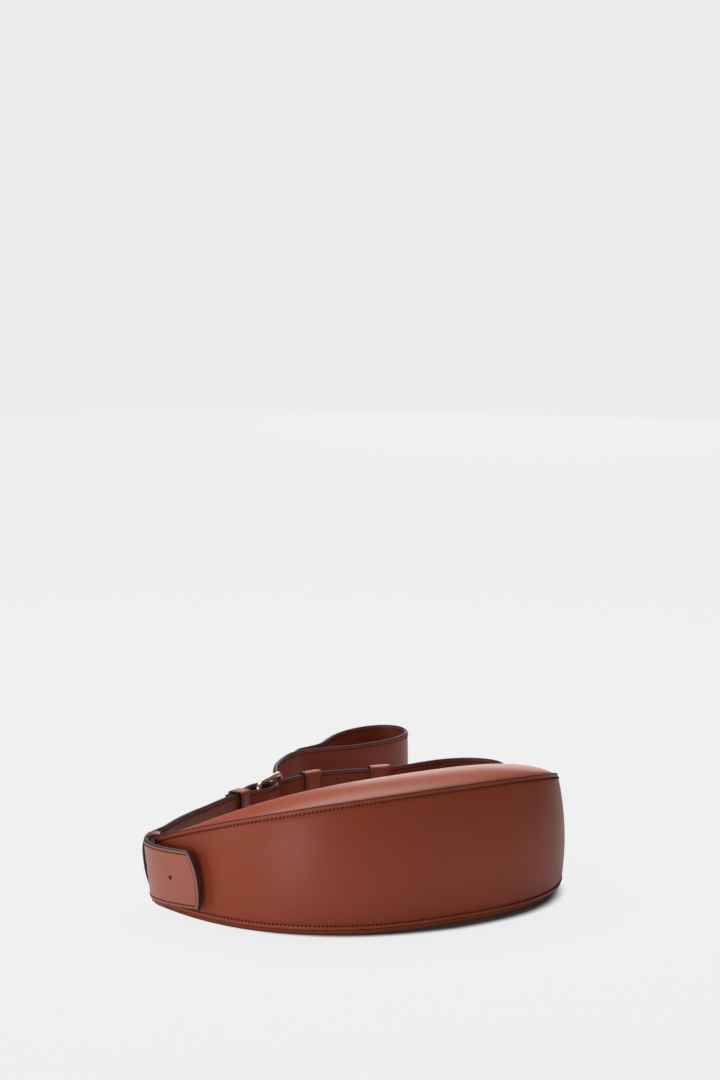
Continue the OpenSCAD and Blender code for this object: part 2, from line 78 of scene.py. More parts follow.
# Strap: a tab ends in an arch. Its upper edge stands out by the lean, as the strap's does at
# the loop, and is drawn back by the shear. Its small hole is in metres
STRAP_W, STRAP_T, STRAP_Z = 33.0, 2.4, 25.0
HINGE_Y, DROOP = BODY_D * 0.164, math.radians(2.43)
TAB_ARCH, TAB_LEAN, TAB_SHEAR, TAIL_R = 48.0, 3.4, 0.06, 16.5
FINE_TIP, HOLE_IN, HOLE_R = 9.6, 18.8, 0.00135
LOOP_AT, LOOP_W, LOOP_T, LOOP_SLACK = 4.3, 8.0, 1.1, 1.0
KEEPER_T, KEEPER_STITCH, KEEPER_CORNER = 1.2, 1.6, 1.3

# Strap routes in plan, as shares of half the body's length and of its depth. Each side runs
# from its tab's tip round the corner. The left one ends in the ring, the right one goes
# through the ring's other fold and on to the loose tail
ROUTE_STEP = 1.5
TAB_SHARES = [(-1.015, -0.411), (-1.035, -0.357), (-1.052, -0.303), (-1.064, -0.256),
              (-1.073, -0.184), (-1.071, -0.128)]
CORNER_SHARES = [(-1.063, -0.087), (-1.049, -0.044), (-1.013, 0.009), (-0.966, 0.067)]
LEFT_SHARES = [(-0.902, 0.123), (-0.828, 0.177), (-0.678, 0.298), (-0.531, 0.399),
               (-0.394, 0.481), (-0.281, 0.554), (-0.173, 0.614), (-0.091, 0.644),
               (-0.025, 0.652), (0.032, 0.655), (0.081, 0.667), (0.131, 0.697),
               (0.173, 0.739), (0.190, 0.769), (0.180, 0.796), (0.149, 0.806),
               (0.100, 0.806), (0.051, 0.788), (0.001, 0.753), (-0.057, 0.704),
               (-0.124, 0.668), (-0.181, 0.641)]
RIGHT_TAB_SHARES = [(-x, y) for x, y in TAB_SHARES]
RIGHT_CORNER_SHARES = [(1.063, -0.087), (1.049, -0.044), (1.013, 0.009), (0.984, 0.048),
                       (0.969, 0.084), (0.975, 0.124)]
RIGHT_SHARES = [(1.003, 0.162), (1.050, 0.197), (1.105, 0.236), (1.170, 0.284),
                (1.242, 0.345), (1.309, 0.418), (1.360, 0.499), (1.374, 0.591),
                (1.348, 0.675), (1.278, 0.739), (1.182, 0.769), (1.051, 0.767),
                (0.952, 0.755), (0.855, 0.759), (0.753, 0.792), (0.667, 0.826),
                (0.592, 0.851), (0.524, 0.861), (0.453, 0.859), (0.383, 0.846),
                (0.313, 0.822), (0.266, 0.815), (0.231, 0.8275), (0.225, 0.857),
                (0.249, 0.885), (0.286, 0.922), (0.328, 0.977), (0.383, 1.073),
                (0.453, 1.167), (0.525, 1.245), (0.605, 1.319), (0.683, 1.382),
                (0.761, 1.413), (0.824, 1.414), (0.934, 1.396), (1.041, 1.375),
                (1.163, 1.370), (1.310, 1.400), (1.434, 1.461), (1.521, 1.555),
                (1.561, 1.660), (1.545, 1.742), (1.459, 1.787), (1.314, 1.763),
                (1.163, 1.686), (1.025, 1.573), (0.947, 1.508), (0.872, 1.482),
                (0.775, 1.455), (0.675, 1.425)]

# The fold of the right strap round the ring, where the sewing stops for a little way
RING_FOLD, FOLD_CLEAR = (0.228, 0.843), 5.0

# Corner loops in section, outward and up: from the front edge round the strap to the back
LOOP_OUTER = [(-3.6, 43.6), (-1.2, 44.1), (1.2, 44.0), (3.4, 43.0), (4.8, 41.2), (5.4, 38),
              (5.3, 34), (4.8, 30), (4.0, 25), (3.0, 20), (1.5, 15), (0.0, 10.5), (-1.6, 7.6),
              (-3.6, 5.6)]

# Studio: tones of the floor and the surround, as lit and as the camera sees them. The seen
# floor glows from these shares of the body's outline, further in at the left and just behind
# the mouth
FLOOR_SIZE, FLOOR_TONE, SEEN_TONE, GLOW_TONE, GLOW_SHARE = 120, 0.74, 0.40, 0.895, 0.93
GLOW_FROM, GLOW_FULL, GLOW_LEFT, GLOW_BEHIND = 0.96, 1.03, 0.12, 8.0
SURROUND, SEEN_SURROUND = 0.10, 0.875


# Camera: the photograph's own view, in a tall frame. Distances are in metres, the focal
# length, the frame and the place of the target in pixels
def aim_camera():
    azimuth, elevation, roll = math.radians(-35.146), math.radians(13.5), math.radians(0.763)
    distance, focal, wide, tall = 2.331254, 4115.357, 720, 1080
    target, target_px, target_py = Vector((0, 0.021, 0.035)), 378.601, 836.95
    back = Vector((math.sin(azimuth) * math.cos(elevation),
                   -math.cos(azimuth) * math.cos(elevation), math.sin(elevation)))
    right = (-back).cross(Vector((0, 0, 1))).normalized()
    up = right.cross(-back)
    tilt = Matrix.Rotation(-math.atan((tall / 2 - target_py) / focal), 3, right)
    pan = Matrix.Rotation(math.atan((target_px - wide / 2) / focal), 3, "Z")
    look = pan @ (tilt @ -back)
    side, top = pan @ right, pan @ (tilt @ up)
    x_axis = side * math.cos(roll) + top * math.sin(roll)
    y_axis = top * math.cos(roll) - side * math.sin(roll)
    data = bpy.data.cameras.new("Camera")
    data.sensor_fit = "HORIZONTAL"
    data.sensor_width = 36
    data.lens = data.sensor_width * focal / wide
    data.clip_start, data.clip_end = 0.05, 400
    camera = bpy.data.objects.new("Camera", data)
    bpy.context.scene.collection.objects.link(camera)
    turn = Matrix((x_axis, y_axis, -look)).transposed()
    camera.matrix_world = Matrix.Translation(target + back * distance) @ turn.to_4x4()
    bpy.context.scene.camera = camera


# Shader helpers
def add_node(tree, kind, **values):
    made = tree.nodes.new(kind)
    for name, value in values.items():
        setattr(made, name, value)
    return made


def feed(tree, socket, value):
    if hasattr(value, "is_output"):
        tree.links.new(value, socket)
    else:
        socket.default_value = value


def maths(tree, operation, a, b=0.0, c=0.0):
    made = add_node(tree, "ShaderNodeMath", operation=operation)
    for socket, value in zip(made.inputs, (a, b, c)):
        feed(tree, socket, value)
    return made.outputs[0]


def one_minus(tree, value):
    return maths(tree, "SUBTRACT", 1.0, value)


# The mix node's colour sockets come after those for numbers and vectors
def blend_colour(tree, factor, a, b):
    made = add_node(tree, "ShaderNodeMix", data_type="RGBA")
    for socket, value in ((0, factor), (6, a), (7, b)):
        feed(tree, made.inputs[socket], value)
    return made.outputs[2]


def fade(tree, value, low, high):
    made = add_node(tree, "ShaderNodeMapRange", interpolation_type="SMOOTHSTEP")
    for socket, v in zip(made.inputs, (value, low, high, 0.0, 1.0)):
        feed(tree, socket, v)
    return made.outputs[0]


def object_place(tree):
    return add_node(tree, "ShaderNodeTexCoord").outputs["Object"]


def noise(tree, vector, scale, detail=3.0, rough=0.5):
    made = add_node(tree, "ShaderNodeTexNoise")
    feed(tree, made.inputs["Vector"], vector)
    feed(tree, made.inputs["Scale"], scale)
    made.inputs["Detail"].default_value = detail
    made.inputs["Roughness"].default_value = rough
    return made.outputs[0]


def tinted(tree, colour, tone):
    rgb = add_node(tree, "ShaderNodeRGB")
    rgb.outputs[0].default_value = (*colour, 1)
    made = add_node(tree, "ShaderNodeVectorMath", operation="SCALE")
    feed(tree, made.inputs[0], rgb.outputs[0])
    feed(tree, made.inputs["Scale"], tone)
    return made.outputs[0]


def raise_surface(tree, shader, height, strength, depth):
    bump = add_node(tree, "ShaderNodeBump")
    bump.inputs["Strength"].default_value = strength
    bump.inputs["Distance"].default_value = depth
    feed(tree, bump.inputs["Height"], height)
    feed(tree, shader.inputs["Normal"], bump.outputs[0])


NUMBER = "NodeSocketFloat"


def make_group(name, inputs, outputs):
    tree = bpy.data.node_groups.new(name, "ShaderNodeTree")
    for label, value in inputs:
        made = tree.interface.new_socket(label, in_out="INPUT", socket_type=NUMBER)
        made.default_value = value
    for label in outputs:
        tree.interface.new_socket(label, in_out="OUTPUT", socket_type=NUMBER)
    return tree, add_node(tree, "NodeGroupInput").outputs, add_node(tree, "NodeGroupOutput").inputs


# Fine calf grain: soft cells, pores and a slow change of tone over the hide
def calf_grain_group():
    tree, given, out = make_group(
        "Calf grain", [("Cells", 900.0), ("Tone change", 0.16)], ["Height", "Tone"])
    place = object_place(tree)
    cells = add_node(tree, "ShaderNodeTexVoronoi", feature="SMOOTH_F1")
    feed(tree, cells.inputs["Vector"], place)
    feed(tree, cells.inputs["Scale"], given["Cells"])
    ripple = noise(tree, place, 2600.0, detail=2.0)
    slow = noise(tree, place, 16.0, rough=0.55)
    small = noise(tree, place, 140.0, detail=4.0, rough=0.6)
    height = maths(tree, "MULTIPLY_ADD", ripple, 0.35, cells.outputs["Distance"])
    feed(tree, out["Height"], height)
    mixed = maths(tree, "MULTIPLY_ADD", small, 0.35, slow)
    centred = maths(tree, "SUBTRACT", mixed, 0.675)
    feed(tree, out["Tone"], maths(tree, "MULTIPLY_ADD", centred, given["Tone change"], 1.0))
    return tree


# Painted edge: a coat over the cut edge that laps a little onto the face
def edge_paint_group():
    tree, given, out = make_group("Edge paint", [("Distance", 1.0), ("Lap", 0.4)], ["Mask"])
    uneven = noise(tree, object_place(tree), 420.0)
    wobble = maths(tree, "MULTIPLY_ADD", uneven, 0.25, -0.125)
    shifted = maths(tree, "ADD", given["Distance"], wobble)
    ratio = maths(tree, "DIVIDE", shifted, given["Lap"])
    feed(tree, out["Mask"], one_minus(tree, fade(tree, ratio, 0.7, 1.15)))
    return tree


# Pressed seam line: a painted shade darkens the line where the thread sinks in, and a painted
# highlight lightens the roll beside the edge
def seam_shade_highlight_group():
    tree, given, out = make_group(
        "Seam line", [("Distance", 9.0), ("Line at", 2.5), ("Width", 0.55)], ["Line", "Roll highlight"])
    off = maths(tree, "ABSOLUTE", maths(tree, "SUBTRACT", given["Distance"], given["Line at"]))
    ratio = maths(tree, "DIVIDE", off, given["Width"])
    feed(tree, out["Line"], one_minus(tree, fade(tree, ratio, 0.2, 1.0)))
    feed(tree, out["Roll highlight"], one_minus(tree, fade(tree, given["Distance"], 0.8, 2.4)))
    return tree


# Plain weave for the lining and the zip tape
def weave_group():
    tree, given, out = make_group("Weave", [("Threads", 2400.0)], ["Height", "Tone"])
    place = object_place(tree)
    split = add_node(tree, "ShaderNodeSeparateXYZ")
    feed(tree, split.inputs[0], place)
    waves = []
    for axis, second in ((0, 1), (2, 0)):
        along = maths(tree, "MULTIPLY", split.outputs[axis], given["Threads"])
        beside = maths(tree, "MULTIPLY", split.outputs[second], 600.0)
        waves.append(maths(tree, "SINE", maths(tree, "ADD", along, beside)))
    woven = maths(tree, "MULTIPLY", waves[0], waves[1])
    feed(tree, out["Height"], woven)
    slub = maths(tree, "MULTIPLY_ADD", noise(tree, place, 260.0, detail=4.0), 0.3, 0.85)
    feed(tree, out["Tone"], maths(tree, "MULTIPLY_ADD", woven, 0.08, slub))
    return tree


GRAIN, PAINT, SEAM, WEAVE = calf_grain_group(), edge_paint_group(), seam_shade_highlight_group(), weave_group()


def use_group(tree, group, **values):
    made = add_node(tree, "ShaderNodeGroup")
    made.node_tree = group
    for label, value in values.items():
        feed(tree, made.inputs[label.replace("_", " ")], value)
    return made.outputs


def new_material(name):
    made = bpy.data.materials.new(name)
    made.use_nodes = True
    return made, made.node_tree, made.node_tree.nodes["Principled BSDF"]


# Leather: the edge attribute is the distance in millimetres to the nearest cut edge
def leather(name, colour, paint=(0.018, 0.016, 0.022), rough=0.42, gloss=0.45,
            line_at=STITCH_IN, crease_shade=0.35, lap=0.4):
    made, tree, shader = new_material(name)
    grain = use_group(tree, GRAIN)
    edge = add_node(tree, "ShaderNodeAttribute", attribute_name="edge").outputs["Fac"]
    mask = use_group(tree, PAINT, Distance=edge, Lap=lap)["Mask"]
    seam = use_group(tree, SEAM, Distance=edge, Line_at=line_at)
    # Painted shade along the stitching's pressed line and painted highlight on the roll beside each
    # cut edge, both multiplied into the leather's colour
    crease_painted_shade = maths(tree, "MULTIPLY_ADD", seam["Line"], -crease_shade, 1.0)
    roll_painted_highlight = maths(tree, "MULTIPLY_ADD", seam["Roll highlight"], 0.12, 1.0)
    tone = maths(tree, "MULTIPLY", grain["Tone"], crease_painted_shade)
    tone = maths(tree, "MULTIPLY", tone, roll_painted_highlight)
    hide = tinted(tree, colour, tone)
    feed(tree, shader.inputs["Base Color"], blend_colour(tree, mask, hide, (*paint, 1)))
    worn = noise(tree, object_place(tree), 60.0, detail=4.0, rough=0.6)
    rub = maths(tree, "MULTIPLY_ADD", worn, 0.14, rough - 0.07)
    feed(tree, shader.inputs["Roughness"], maths(tree, "MULTIPLY_ADD", mask, 0.05, rub))
    shader.inputs["Specular IOR Level"].default_value = gloss
    height = maths(tree, "MULTIPLY", grain["Height"], one_minus(tree, mask))
    raise_surface(tree, shader, height, strength=0.22, depth=0.00006)
    return made


def cloth(name, colour, threads):
    made, tree, shader = new_material(name)
    weave = use_group(tree, WEAVE, Threads=threads)
    feed(tree, shader.inputs["Base Color"], tinted(tree, colour, weave["Tone"]))
    shader.inputs["Roughness"].default_value = 0.85
    shader.inputs["Specular IOR Level"].default_value = 0.2
    raise_surface(tree, shader, weave["Height"], strength=0.4, depth=0.0001)
    return made


def brass(name, colour, rough):
    made, tree, shader = new_material(name)
    place = object_place(tree)
    slow, fine = noise(tree, place, 90.0), noise(tree, place, 1400.0, detail=2.0)
    tone = maths(tree, "MULTIPLY_ADD", slow, 0.16, 0.92)
    feed(tree, shader.inputs["Base Color"], tinted(tree, colour, tone))
    shader.inputs["Metallic"].default_value = 1.0
    worn = maths(tree, "MULTIPLY_ADD", slow, 0.16, rough - 0.08)
    feed(tree, shader.inputs["Roughness"], maths(tree, "MULTIPLY_ADD", fine, 0.06, worn))
    return made


def thread(name, colour):
    made, tree, shader = new_material(name)
    strands = noise(tree, object_place(tree), 3000.0, detail=2.0)
    tone = maths(tree, "MULTIPLY_ADD", strands, 0.7, 0.65)
    feed(tree, shader.inputs["Base Color"], tinted(tree, colour, tone))
    shader.inputs["Roughness"].default_value = 0.7
    shader.inputs["Specular IOR Level"].default_value = 0.15
    raise_surface(tree, shader, strands, strength=0.4, depth=0.00005)
    return made


COGNAC = (0.250, 0.046, 0.019)
gusset_leather = leather("Gusset leather", COGNAC, paint=(0.030, 0.012, 0.012), rough=0.46,
                         gloss=0.22, crease_shade=0.0, lap=0.12)
panel_leather = leather("Panel leather", (0.280, 0.053, 0.021), gloss=0.22, crease_shade=0.0,
                        lap=0.1)
strap_leather = leather("Strap leather", (0.205, 0.037, 0.017), gloss=0.17, crease_shade=0.3,
                        lap=0.7)
# The tab is the strap's own leather, but its colour is painted lighter and greyer than the strap's:
# a painted sheen for the light that falls on the tab
tab_leather = leather("Tab leather with painted sheen", (0.305, 0.080, 0.046), gloss=0.5, line_at=2.1,
                      crease_shade=0.7, lap=0.8)
loop_leather = leather("Loop leather", COGNAC, line_at=9.0, crease_shade=0.0)
pull_leather = leather("Pull leather", COGNAC, line_at=1.4, lap=0.3)
lining_cloth = cloth("Lining cloth", (0.30, 0.20, 0.12), 2200.0)
tape_cloth = cloth("Zip tape cloth", (0.060, 0.020, 0.012), 3000.0)
pale_brass = brass("Pale brass", (0.83, 0.67, 0.40), 0.24)
tooth_brass = brass("Tooth brass", (0.78, 0.60, 0.33), 0.32)
# The thread's colour is darker than the thread itself: a painted shade for the needle holes it sits
# in
seam_thread_with_painted_shade = thread("Seam thread", (0.060, 0.012, 0.009))


# Mesh helpers
def in_frame(points):
    moved = np.array(points, float)
    moved[..., 1] += MOUTH_Y
    return moved / 1000


def deselect():
    bpy.ops.object.select_all(action="DESELECT")


def pick(piece):
    deselect()
    piece.select_set(True)
    bpy.context.view_layer.objects.active = piece


def drop_uvs(mesh):
    while mesh.uv_layers:
        mesh.uv_layers.remove(mesh.uv_layers[0])


def settle(piece, body, slot, *stands_for):
    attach(piece, body)
    if stands_for:
        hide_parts(*stands_for)


# A grid is laid, its points are moved to their places, and edges that meet are merged
def lay_grid(name, points, edge, material):
    rows, cols = points.shape[:2]
    deselect()
    bpy.ops.mesh.primitive_grid_add(x_subdivisions=cols - 1, y_subdivisions=rows - 1, size=2)
    piece = bpy.context.active_object
    piece.name = piece.data.name = name
    mesh = piece.data
    flat = np.empty(len(mesh.vertices) * 3)
    mesh.vertices.foreach_get("co", flat)
    flat = flat.reshape(-1, 3)
    col = np.rint((flat[:, 0] + 1) / 2 * (cols - 1)).astype(int)
    row = np.rint((flat[:, 1] + 1) / 2 * (rows - 1)).astype(int)
    mesh.vertices.foreach_set("co", in_frame(points[row, col]).ravel())
    marks = mesh.attributes.new("edge", "FLOAT", "POINT")
    marks.data.foreach_set("value", edge[row, col].astype(np.float32))
    bpy.ops.object.mode_set(mode="EDIT")
    bpy.ops.mesh.select_all(action="SELECT")
    bpy.ops.mesh.remove_doubles(threshold=0.000002)
    bpy.ops.mesh.dissolve_degenerate(threshold=0.000001)
    bpy.ops.mesh.normals_make_consistent(inside=False)
    bpy.ops.object.mode_set(mode="OBJECT")
    drop_uvs(mesh)
    mesh.materials.clear()
    mesh.materials.append(material)
    bpy.ops.object.shade_smooth_by_angle(angle=math.radians(50))
    return piece


# Distance run so far along one axis of a grid of points
def spans(points, axis=0):
    steps = np.linalg.norm(np.diff(points, axis=axis), axis=-1)
    start = np.zeros_like(np.take(steps, [0], axis=axis))
    return np.concatenate([start, np.cumsum(steps, axis=axis)], axis=axis)


def unit(v):
    return v / np.maximum(np.linalg.norm(v, axis=-1, keepdims=True), 1e-9)


# Places on a line, found by the distance run
def resample(line, run, where):
    return np.stack([np.interp(where, run, line[:, i]) for i in range(line.shape[1])], -1)


# Each inner point moves towards its neighbours
def relax(line, passes):
    for _ in range(passes):
        line[1:-1] = (line[:-2] + 2 * line[1:-1] + line[2:]) / 4
    return line


def eased(share):
    return share * share * (3 - 2 * share)


# A row of points, where y or z may be one value for the whole row
def flat_row(x, y, z):
    return np.stack([x, y + 0 * x, z + 0 * x], -1)


CUT_ANGLES = np.radians([30, 60, 90, 120, 150])


# A shell of leather between two faces, with rounded cut edges all round
def shell(name, outer, inner, material, roundness=0.5):
    down, across = spans(outer, 0), spans(outer, 1)
    edge = np.minimum(down, down[-1:] - down)
    edge = np.minimum(edge, np.minimum(across, across[:, -1:] - across))

    def with_ends(face, other):
        made = []
        for here, there, before in ((face[:, 0], other[:, 0], outer[:, 1]),
                                    (face[:, -1], other[:, -1], outer[:, -2])):
            middle = (here + there) / 2
            gap = np.linalg.norm(here - there, axis=-1, keepdims=True)
            out = unit((here if face is outer else there) - before)
            made.append((middle + out * gap * roundness / 2)[:, None])
        return np.concatenate([made[0], face, made[1]], axis=1)

    far, near = with_ends(outer, inner), with_ends(inner, outer)
    edge = np.concatenate([edge[:, :1] * 0, edge, edge[:, :1] * 0], axis=1)

    def rolled(a, b, before):
        middle, half = (a + b) / 2, (a - b) / 2
        out = unit(a - before) * np.linalg.norm(half, axis=-1, keepdims=True) * roundness
        return [middle + half * math.cos(f) + out * math.sin(f) for f in CUT_ANGLES]

    rows = list(far) + rolled(far[-1], near[-1], far[-2])
    rows += list(near[::-1]) + rolled(near[0], far[0], near[1]) + [far[0]]
    blank = [edge[0] * 0] * len(CUT_ANGLES)
    marks = list(edge) + blank + list(edge[::-1]) + blank + [edge[0]]
    return lay_grid(name, np.array(rows), np.array(marks), material)


RIM_ANGLES = np.radians([60, 30, 0, -30, -60])


# A band's section: offset across, height and distance from the edge at each point. Both
# faces are pressed in along the stitching, and the edge is rounded over edge_r
def band_section(full, thick, stitch, edge_r):
    beside = (stitch - GROOVE_HALF, stitch, stitch + GROOVE_HALF, stitch + 1.2)
    depths = [d for d in (edge_r, 1.7, *beside, 7.0) if d < full * 0.9]
    face = [(full - d, thick / 2 - (GROOVE_D if d == stitch else 0), d) for d in depths]
    face += [(0.0, thick / 2, full)] + [(-u, v, d) for u, v, d in face[::-1]]
    edge = [(edge_r * (1 - math.cos(f)) - full, thick / 2 * math.sin(f), 0.0)
            for f in RIM_ANGLES]
    half = face + edge
    return np.array(half + [(-u, -v, d) for u, v, d in half] + [face[0]]).T


# A band swept along a line, as wide as given at each place, with round painted edges. Where
# the far end is rounded, arch is its radius, and the edge's distance follows it
def band(name, centre, across, half_w, thick, material, closed=False, arch=0, stitch=STITCH_IN,
         edge_r=0.9):
    if closed:
        tangent = unit(np.roll(centre, -1, 0) - np.roll(centre, 1, 0))
    else:
        tangent = unit(np.gradient(centre, axis=0))
    normal = unit(np.cross(tangent, across))
    full = half_w.max()
    u, v, d = band_section(full, thick, stitch, edge_r)
    u = u / full
    grid = (centre[:, None] + across[:, None] * (u[None, :, None] * half_w[:, None, None])
            + normal[:, None] * v[None, :, None])
    marks = np.repeat(d[None], len(centre), 0)
    if arch:
        run = spans(centre)
        short = np.maximum(0, arch - (run[-1] - run))[:, None]
        to_end = arch - np.hypot(np.abs(u)[None] * half_w[:, None], short)
        marks = np.minimum(marks, np.maximum(0, to_end))
    if closed:
        grid = np.concatenate([grid, grid[:1]])
        marks = np.concatenate([marks, marks[:1]])
    else:
        grid = np.concatenate([np.repeat(centre[:1, None], len(u), 1), grid,
                               np.repeat(centre[-1:, None], len(u), 1)])
        marks = np.concatenate([marks[:1], marks, marks[-1:]])
    return lay_grid(name, grid, marks, material)


# Sewing: one thread loop is modelled, then copied along each seam at its pitch, turned a
# little across the seam
def sew(name, runs, pitch=2.3, size=(0.9, 0.42, 0.36), slant=18.0):
    deselect()
    bpy.ops.mesh.primitive_uv_sphere_add(segments=8, ring_count=5, radius=0.001)
    first = bpy.context.active_object
    for v in first.data.vertices:
        v.co = Vector((v.co.x * size[0], v.co.y * size[1], v.co.z * size[2]))
    for f in first.data.polygons:
        f.use_smooth = True
    drop_uvs(first.data)
    c, s = math.cos(math.radians(slant)), math.sin(math.radians(slant))
    half_step = 0.4
    made = []
    for points, outward in runs:
        run = spans(points)
        count = max(1, int(run[-1] // pitch))
        where = (np.arange(count) + 0.5) * run[-1] / count
        spots = in_frame(resample(points, run, where))
        away = unit(resample(outward, run, where))
        ahead = (resample(points, run, np.minimum(where + half_step, run[-1]))
                 - resample(points, run, np.maximum(where - half_step, 0)))
        ahead = unit(ahead - away * np.sum(ahead * away, -1, keepdims=True))
        beside = np.cross(away, ahead)
        for p, a, t, b in zip(spots, away, ahead * c + beside * s, beside * c - ahead * s):
            one = first.copy()
            one.data = first.data.copy()
            bpy.context.scene.collection.objects.link(one)
            one.matrix_world = Matrix(((t[0], b[0], a[0], p[0]), (t[1], b[1], a[1], p[1]),
                                       (t[2], b[2], a[2], p[2]), (0, 0, 0, 1)))
            made.append(one)
    bpy.data.objects.remove(first)
    deselect()
    for one in made:
        one.select_set(True)
    bpy.context.view_layer.objects.active = made[0]
    bpy.ops.object.join()
    piece = bpy.context.active_object
    piece.name = piece.data.name = name
    bpy.ops.object.transform_apply(location=True, rotation=True, scale=True)
    piece.data.materials.clear()
    piece.data.materials.append(seam_thread_with_painted_shade)
    return piece


# Body forms. Angles run from one corner round the belly to the other, and lie closer at the
# corners and at the middle
def column_angles(quarter):
    u = np.linspace(0, 1, quarter + 1)
    near, far = u**1.25, (1 - u)**1.25
    first = np.pi / 2 * near / (near + far)
    return np.concatenate([first, np.pi - first[-2::-1]])


def rim(t, a, b):
    c, s = np.cos(t), np.abs(np.sin(t))
    s = np.where(s < 1e-9, 0, s)
    return a * np.sign(c) * np.abs(c)**(2 / BODY_N), -b * s**(2 / BODY_N)


def radius_share(x, y, a, b):
    return ((np.abs(x) / a)**BODY_N + (np.maximum(0, -y) / b)**BODY_N)**(1 / BODY_N)


def seam_high(y):
    depth = np.minimum(1, np.maximum(0, -y) / BODY_D)
    return SEAM_LOW + CORNER_W + (MID_W - CORNER_W) * depth**RISE_POWER


# The front panel is crowned, rolls down to the seam and is a little uneven, as soft leather is
def front_height(x, y):
    r = np.minimum(1, radius_share(x, y, FRONT_A, FRONT_B))
    d = np.minimum(1, np.maximum(0, -y) / FRONT_B)
    crown = CROWN_H * (1 - r**6) * (MOUTH_CROWN + (1 - MOUTH_CROWN) * (1 - (1 - d)**2))
    roll = ROLL_H * np.exp(-(1 - r) * FRONT_B / ROLL_RUN)
    soft = 0.18 * np.sin(x / 21 + 0.6) * np.sin(y / 17 + 1.1) * (1 - r**4)
    return seam_high(y) + crown - roll + soft


# The back panel lies flat in the middle and rolls up to the lower seam
def back_height(x, y):
    r = np.minimum(1, radius_share(x, y, BACK_A, BACK_B))
    u = np.maximum(0, r - FLAT_SHARE) / (1 - FLAT_SHARE)
    return FLOOR_GAP + (SEAM_LOW - FLOOR_GAP) * (1 - np.sqrt(1 - np.minimum(1, u)**2))


# Rows of a panel from its rim towards the mouth, close together where it rolls
ROW_SHARES = np.array([0, 0.004, 0.008, 0.013, 0.02, 0.028, 0.04, 0.055, 0.075, 0.1, 0.13,
                       0.165, 0.2, 0.25, 0.3, 0.36, 0.42, 0.48, 0.55, 0.62, 0.7, 0.78, 0.86,
                       0.93, 0.98, 1])


def panel_grid(angles, a, b, height, flange_z, end_y):
    x, y0 = rim(angles, a, b)
    rows = [flat_row(x, y0, z) for z in flange_z]
    for share in ROW_SHARES:
        y = y0 + (end_y - y0) * share
        rows.append(flat_row(x, y, height(x, y)))
    return np.array(rows)


# Each panel's flange is turned in under the gusset: its rows are measured from the seam
def make_panels():
    t = column_angles(56)
    for name, a, b, height, sign, seam, face_rows, back_rows in (
            ("front_panel", FRONT_A, FRONT_B, front_height, 1, seam_high,
             (6.5, 4, 2), (6.5, 5, 4)),
            ("back_panel", BACK_A, BACK_B, back_height, -1, lambda y: SEAM_LOW,
             (6.5, 4, 1.5), (6.5, 5, 3))):
        faces = []
        for deep, flange in ((0, face_rows), (PANEL_T, back_rows)):
            y = rim(t, a - deep, b - deep)[1]
            faces.append(panel_grid(t, a - deep, b - deep,
                                    lambda x, y: height(x, y) - sign * deep,
                                    [seam(y) - sign * down for down in flange], LIP))
        settle(shell(name + "_leather", *faces, panel_leather), "root", "panel_leather", name)


# A place on the gusset: t is the angle round the body, v runs from the lower seam to the upper
def gusset_point(t, v, inset):
    swell = BULGE_H * 4 * v * (1 - v) * np.sin(t) - inset
    x, y = rim(t, HALF_L - FRONT_INSET * v + swell, BODY_D + (FRONT_D - BODY_D) * v + swell)
    return np.stack([x, y, SEAM_LOW + gusset_width(t) * v], -1)


def gusset_width(t):
    return seam_high(rim(t, HALF_L - FRONT_INSET, FRONT_D)[1]) - SEAM_LOW


# Its leather is thinned towards both edges, so the panels come close under its face. Rows
# near an edge are set by their distance from it: they carry the groove along the stitching
# and the step up to the full thickness
def gusset_grid(t, deep, groove):
    width = gusset_width(t)
    near = np.array([0, 0.35, 0.9, 1.3, 1.8, STITCH_IN, 2.8, 3.4, 5.0, 8.5])
    sunk = np.interp(near, [1.3, 1.8, STITCH_IN, 2.8, 3.4], [0, 0.7, 1, 0.7, 0]) * groove
    thick = SKIVED + TURNED * np.clip((near - 6.8) / 1.7, 0, 1)
    rows = []
    for d, s, full in zip(near, sunk, thick):
        rows.append(gusset_point(t, d / width, deep * full + s))
    for share in np.linspace(0, 1, 17)[1:-1]:
        v = near[-1] / width + (1 - 2 * near[-1] / width) * share
        rows.append(gusset_point(t, v, deep * GUSSET_T))
    for d, s, full in zip(near[::-1], sunk[::-1], thick[::-1]):
        rows.append(gusset_point(t, 1 - d / width, deep * full + s))
    grid = np.array(rows)
    ends = []
    for col in (0, -1):
        end = grid[:, col].copy()
        end[:, 1] = LIP
        ends.append(end[:, None])
    return np.concatenate([ends[0], grid, ends[1]], axis=1)


def make_gusset():
    t = column_angles(72)
    piece = shell("gusset_leather_band", gusset_grid(t, 0, 0.3), gusset_grid(t, 1, 0),
                  gusset_leather, roundness=0.9)
    settle(piece, "root", "gusset_leather", "gusset")
    t = column_angles(160)[2:-2]
    runs = []
    for v in (STITCH_IN / gusset_width(t), 1 - STITCH_IN / gusset_width(t)):
        line = gusset_point(t, v, 0.05)
        away = unit(gusset_point(t, v, -1) - gusset_point(t, v, 0))
        runs.append((line[::-1], away[::-1]))
    threads = sew("gusset_stitching", runs, size=(0.8, 0.52, 0.5), slant=32.0)
    settle(threads, "root", "gusset_leather")


